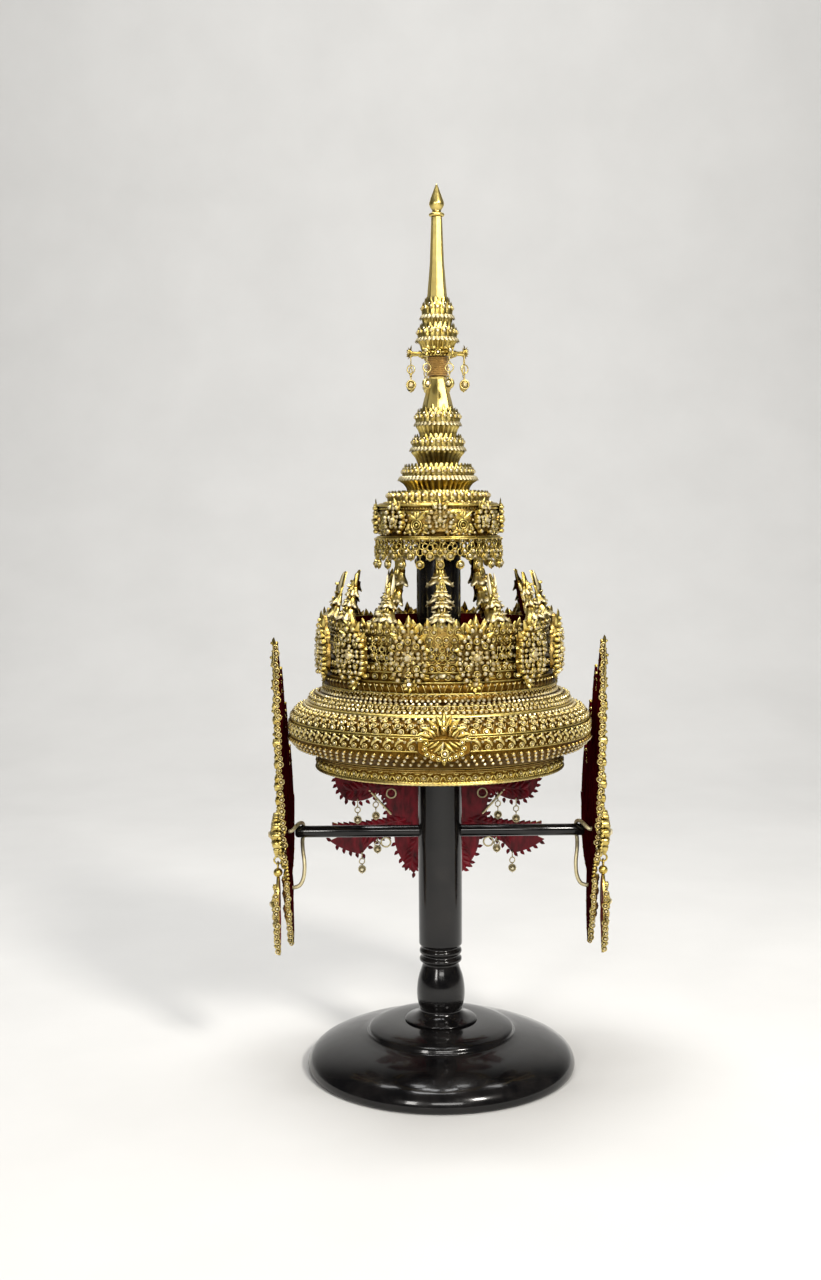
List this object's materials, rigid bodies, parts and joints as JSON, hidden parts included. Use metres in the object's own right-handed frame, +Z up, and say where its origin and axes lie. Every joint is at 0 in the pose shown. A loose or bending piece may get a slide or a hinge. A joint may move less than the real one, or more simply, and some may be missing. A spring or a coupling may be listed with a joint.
{
  "type": "thai headdress on a turned display stand",
  "caption": "Gilded openwork spire headdress with leaf panels, lotus tiers, hanging drops, ear ornaments and a nape plaque, shown on a black turned stand with a crossbar.",
  "frame": {"origin": "centre of the stand's foot on the surface it stands on", "axes": "+Z up, -Y the front, +X to the right seen from the front"},
  "size_m": [0.2416, 0.2199, 0.6212],
  "materials": {
    "gilt": "polished gilding",
    "thread": "wound thread",
    "black_lacquer": "gloss black lacquer"
  },
  "bodies": {
    "root": {"foot_band": "gilt", "brim": "gilt", "upper_rim": "gilt", "crown_wall": "gilt", "front_medallion": "gilt", "crown_panel_1": "gilt", "crown_panel_2": "gilt", "crown_panel_3": "gilt", "crown_panel_4": "gilt", "crown_panel_5": "gilt", "crown_panel_6": "gilt", "crown_panel_7": "gilt", "crown_panel_8": "gilt", "crown_panel_9": "gilt", "crown_panel_10": "gilt", "crown_panel_11": "gilt", "crown_panel_12": "gilt", "finial_1": "gilt", "finial_2": "gilt", "finial_3": "gilt", "finial_4": "gilt", "finial_5": "gilt", "finial_6": "gilt", "finial_7": "gilt", "finial_8": "gilt", "finial_9": "gilt", "finial_10": "gilt", "finial_11": "gilt", "finial_12": "gilt", "rib_1": "gilt", "rib_2": "gilt", "rib_3": "gilt", "rib_4": "gilt", "rib_5": "gilt", "rib_6": "gilt", "drum": "gilt", "drum_pendants": "gilt", "shoulder": "gilt", "tier_large": "gilt", "tier_middle": "gilt", "tier_small": "gilt", "tier_neck": "gilt", "tier_top": "gilt", "faceted_cone": "gilt", "pendant_wheel": "gilt", "spire": "gilt", "bud": "gilt", "nape_plaque": "gilt", "right_ear_wing": "gilt", "right_ear_flower": "gilt", "right_ear_hook": "gilt", "left_ear_wing": "gilt", "left_ear_flower": "gilt", "left_ear_hook": "gilt", "winding": "thread", "stand_base": "black_lacquer", "stand_post": "black_lacquer", "stand_bar": "black_lacquer"},
    "right_drop": {"right_ear_drop": "gilt"},
    "left_drop": {"left_ear_drop": "gilt"}
  },
  "joints": [
    {"name": "right_drop_swing", "type": "hinge", "parent": "root", "child": "right_drop", "pos_m": [0.1144, -0.014, 0.1506], "axis": [1, 0, 0], "range_deg": [-30, 30]},
    {"name": "left_drop_swing", "type": "hinge", "parent": "root", "child": "left_drop", "pos_m": [-0.1144, -0.014, 0.1506], "axis": [1, 0, 0], "range_deg": [-30, 30]}
  ]
}
